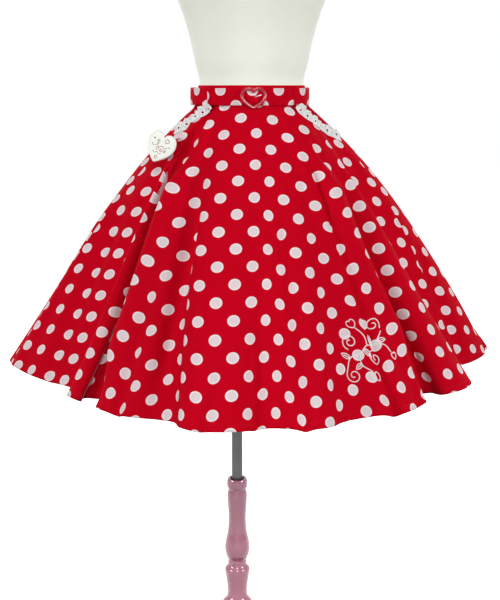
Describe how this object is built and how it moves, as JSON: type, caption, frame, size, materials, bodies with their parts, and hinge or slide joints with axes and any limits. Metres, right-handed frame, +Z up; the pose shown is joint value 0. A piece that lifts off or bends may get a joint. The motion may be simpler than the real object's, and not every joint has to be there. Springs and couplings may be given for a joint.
{
  "type": "belted circle skirt on a limbless dress form and stand",
  "caption": "Flared circle skirt of dotted cotton with belt, heart buckle, lace-edged hip pockets and a heart brooch, worn by a limbless dress form on a turned stand.",
  "frame": {"origin": "middle of the base's underside, on the pole's axis", "axes": "+Z up along the pole, -Y to the skirt's front, +X to the viewer's right when facing the front"},
  "size_m": [1.0063, 0.9524, 1.653],
  "materials": {
    "dotted_cotton": "matt woven cotton, red with white dots",
    "eyelet_lace": "matt white cotton eyelet lace",
    "red_enamel": "glossy red",
    "white_plastic": "satin white",
    "silver_metal": "bright nickel",
    "form_cover": "matt off-white stretched cover",
    "grey_pole": "satin grey",
    "pink_wood": "glossy pink paint"
  },
  "bodies": {
    "root": {"skirt_front": "dotted_cotton", "skirt_back_left": "dotted_cotton", "skirt_back_right": "dotted_cotton", "pocket_back_left": "dotted_cotton", "pocket_back_right": "dotted_cotton", "pocket_lace_left": "eyelet_lace", "pocket_lace_right": "eyelet_lace", "waistband": "dotted_cotton", "belt": "dotted_cotton", "belt_loop_1": "dotted_cotton", "belt_loop_2": "dotted_cotton", "belt_loop_3": "dotted_cotton", "belt_loop_4": "dotted_cotton", "belt_loop_5": "dotted_cotton", "belt_loop_6": "dotted_cotton", "buckle": "red_enamel", "buckle_prong": "silver_metal", "belt_eyelet": "silver_metal", "heart_brooch": "white_plastic", "brooch_peg": "silver_metal", "form": "form_cover", "pole": "grey_pole", "post": "pink_wood", "base": "pink_wood"}
  },
  "joints": []
}
